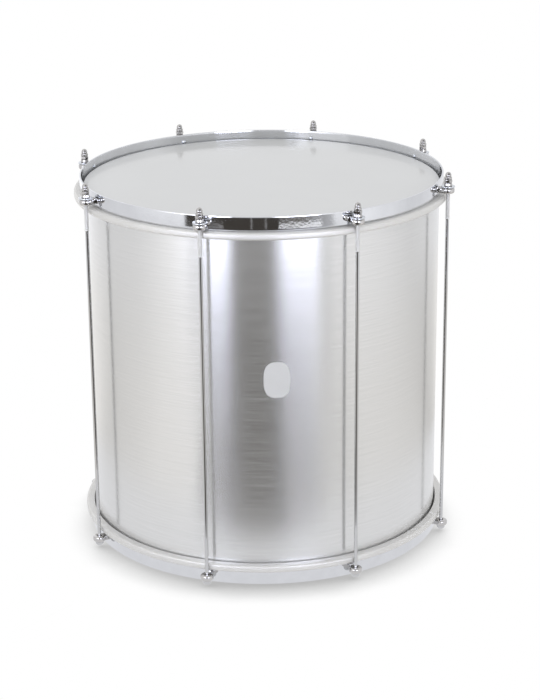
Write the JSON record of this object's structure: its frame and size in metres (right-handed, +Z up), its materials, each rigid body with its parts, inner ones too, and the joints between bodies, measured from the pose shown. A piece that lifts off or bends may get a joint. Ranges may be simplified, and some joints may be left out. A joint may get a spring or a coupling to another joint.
{
  "type": "surdo drum",
  "caption": "Deep cylindrical bass drum with an aluminium shell, film heads, chromed counter hoops and full length tension rods with tuning nuts.",
  "frame": {"origin": "centre of the drum's bottom rim, on the surface it stands on", "axes": "+Z up along the drum's axis, -Y the front, midway between the first and the last tension rod"},
  "size_m": [0.536, 0.536, 0.542],
  "materials": {
    "shell_aluminium": "brushed round the drum, semi-bright",
    "flesh_hoop_aluminium": "smooth satin",
    "hoop_chrome": "mirror bright",
    "lug_chrome": "bright",
    "rod_chrome": "bright",
    "nut_chrome": "bright",
    "washer_zinc": "zinc plated, satin",
    "rivet_zinc": "zinc plated, satin",
    "head_film": "milky translucent polyester, semi-gloss"
  },
  "bodies": {
    "drum": {"shell": "shell_aluminium", "top_head_film": "head_film", "bottom_head_film": "head_film", "top_flesh_hoop": "flesh_hoop_aluminium", "bottom_flesh_hoop": "flesh_hoop_aluminium", "top_counter_hoop": "hoop_chrome", "bottom_counter_hoop": "hoop_chrome", "tension_rod_1": "rod_chrome", "tension_rod_2": "rod_chrome", "tension_rod_3": "rod_chrome", "tension_rod_4": "rod_chrome", "tension_rod_5": "rod_chrome", "tension_rod_6": "rod_chrome", "tension_rod_7": "rod_chrome", "tension_rod_8": "rod_chrome", "nut_washer_1": "washer_zinc", "nut_washer_2": "washer_zinc", "nut_washer_3": "washer_zinc", "nut_washer_4": "washer_zinc", "nut_washer_5": "washer_zinc", "nut_washer_6": "washer_zinc", "nut_washer_7": "washer_zinc", "nut_washer_8": "washer_zinc", "top_lug_1": "lug_chrome", "top_lug_2": "lug_chrome", "top_lug_3": "lug_chrome", "top_lug_4": "lug_chrome", "top_lug_5": "lug_chrome", "top_lug_6": "lug_chrome", "top_lug_7": "lug_chrome", "top_lug_8": "lug_chrome", "top_lug_rivet_1": "rivet_zinc", "top_lug_rivet_2": "rivet_zinc", "top_lug_rivet_3": "rivet_zinc", "top_lug_rivet_4": "rivet_zinc", "top_lug_rivet_5": "rivet_zinc", "top_lug_rivet_6": "rivet_zinc", "top_lug_rivet_7": "rivet_zinc", "top_lug_rivet_8": "rivet_zinc", "bottom_lug_1": "lug_chrome", "bottom_lug_2": "lug_chrome", "bottom_lug_3": "lug_chrome", "bottom_lug_4": "lug_chrome", "bottom_lug_5": "lug_chrome", "bottom_lug_6": "lug_chrome", "bottom_lug_7": "lug_chrome", "bottom_lug_8": "lug_chrome"},
    "nut_1": {"tuning_nut_1": "nut_chrome"},
    "nut_2": {"tuning_nut_2": "nut_chrome"},
    "nut_3": {"tuning_nut_3": "nut_chrome"},
    "nut_4": {"tuning_nut_4": "nut_chrome"},
    "nut_5": {"tuning_nut_5": "nut_chrome"},
    "nut_6": {"tuning_nut_6": "nut_chrome"},
    "nut_7": {"tuning_nut_7": "nut_chrome"},
    "nut_8": {"tuning_nut_8": "nut_chrome"}
  },
  "joints": [
    {"name": "nut_1_turn", "type": "hinge", "parent": "drum", "child": "nut_1", "pos_m": [0.10409, -0.25129, 0.5223], "axis": [0, 0, 1], "continuous": true},
    {"name": "nut_2_turn", "type": "hinge", "parent": "drum", "child": "nut_2", "pos_m": [0.25129, -0.10409, 0.5223], "axis": [0, 0, 1], "continuous": true},
    {"name": "nut_3_turn", "type": "hinge", "parent": "drum", "child": "nut_3", "pos_m": [0.25129, 0.10409, 0.5223], "axis": [0, 0, 1], "continuous": true},
    {"name": "nut_4_turn", "type": "hinge", "parent": "drum", "child": "nut_4", "pos_m": [0.10409, 0.25129, 0.5223], "axis": [0, 0, 1], "continuous": true},
    {"name": "nut_5_turn", "type": "hinge", "parent": "drum", "child": "nut_5", "pos_m": [-0.10409, 0.25129, 0.5223], "axis": [0, 0, 1], "continuous": true},
    {"name": "nut_6_turn", "type": "hinge", "parent": "drum", "child": "nut_6", "pos_m": [-0.25129, 0.10409, 0.5223], "axis": [0, 0, 1], "continuous": true},
    {"name": "nut_7_turn", "type": "hinge", "parent": "drum", "child": "nut_7", "pos_m": [-0.25129, -0.10409, 0.5223], "axis": [0, 0, 1], "continuous": true},
    {"name": "nut_8_turn", "type": "hinge", "parent": "drum", "child": "nut_8", "pos_m": [-0.10409, -0.25129, 0.5223], "axis": [0, 0, 1], "continuous": true}
  ]
}
